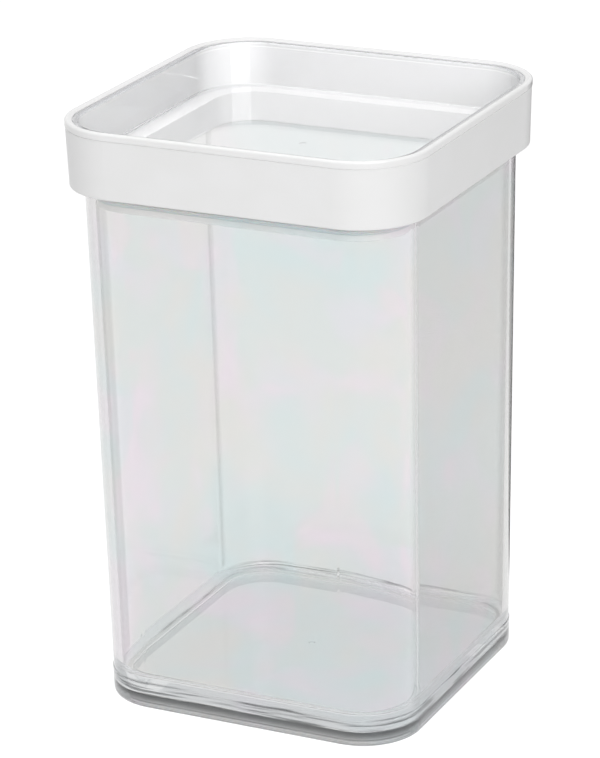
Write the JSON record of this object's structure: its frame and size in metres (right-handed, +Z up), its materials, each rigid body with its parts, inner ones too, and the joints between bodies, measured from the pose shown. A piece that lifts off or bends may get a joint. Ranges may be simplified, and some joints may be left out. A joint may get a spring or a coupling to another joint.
{
  "type": "food storage container",
  "caption": "Tall square clear canister for dry food, with a white framed lid that presses into its mouth and a recessed clear window that another canister stacks on.",
  "frame": {"origin": "middle of the base, on the surface that the canister stands on", "axes": "+Z up, from the base to the lid; X and Y square to the walls, which are alike on all four sides"},
  "size_m": [0.106, 0.106, 0.1702],
  "materials": {
    "clear_canister": "clear polished plastic",
    "white_frame": "white, satin band with polished rim",
    "clear_window": "clear polished plastic",
    "seal_silicone": "soft milky silicone"
  },
  "bodies": {
    "canister": {"container": "clear_canister"},
    "lid": {"lid_frame": "white_frame", "lid_window": "clear_window", "lid_seal": "seal_silicone"}
  },
  "joints": [
    {"name": "lid_lift", "type": "slide", "parent": "canister", "child": "lid", "axis": [0, 0, 1], "range_m": [0, 0.08]}
  ]
}
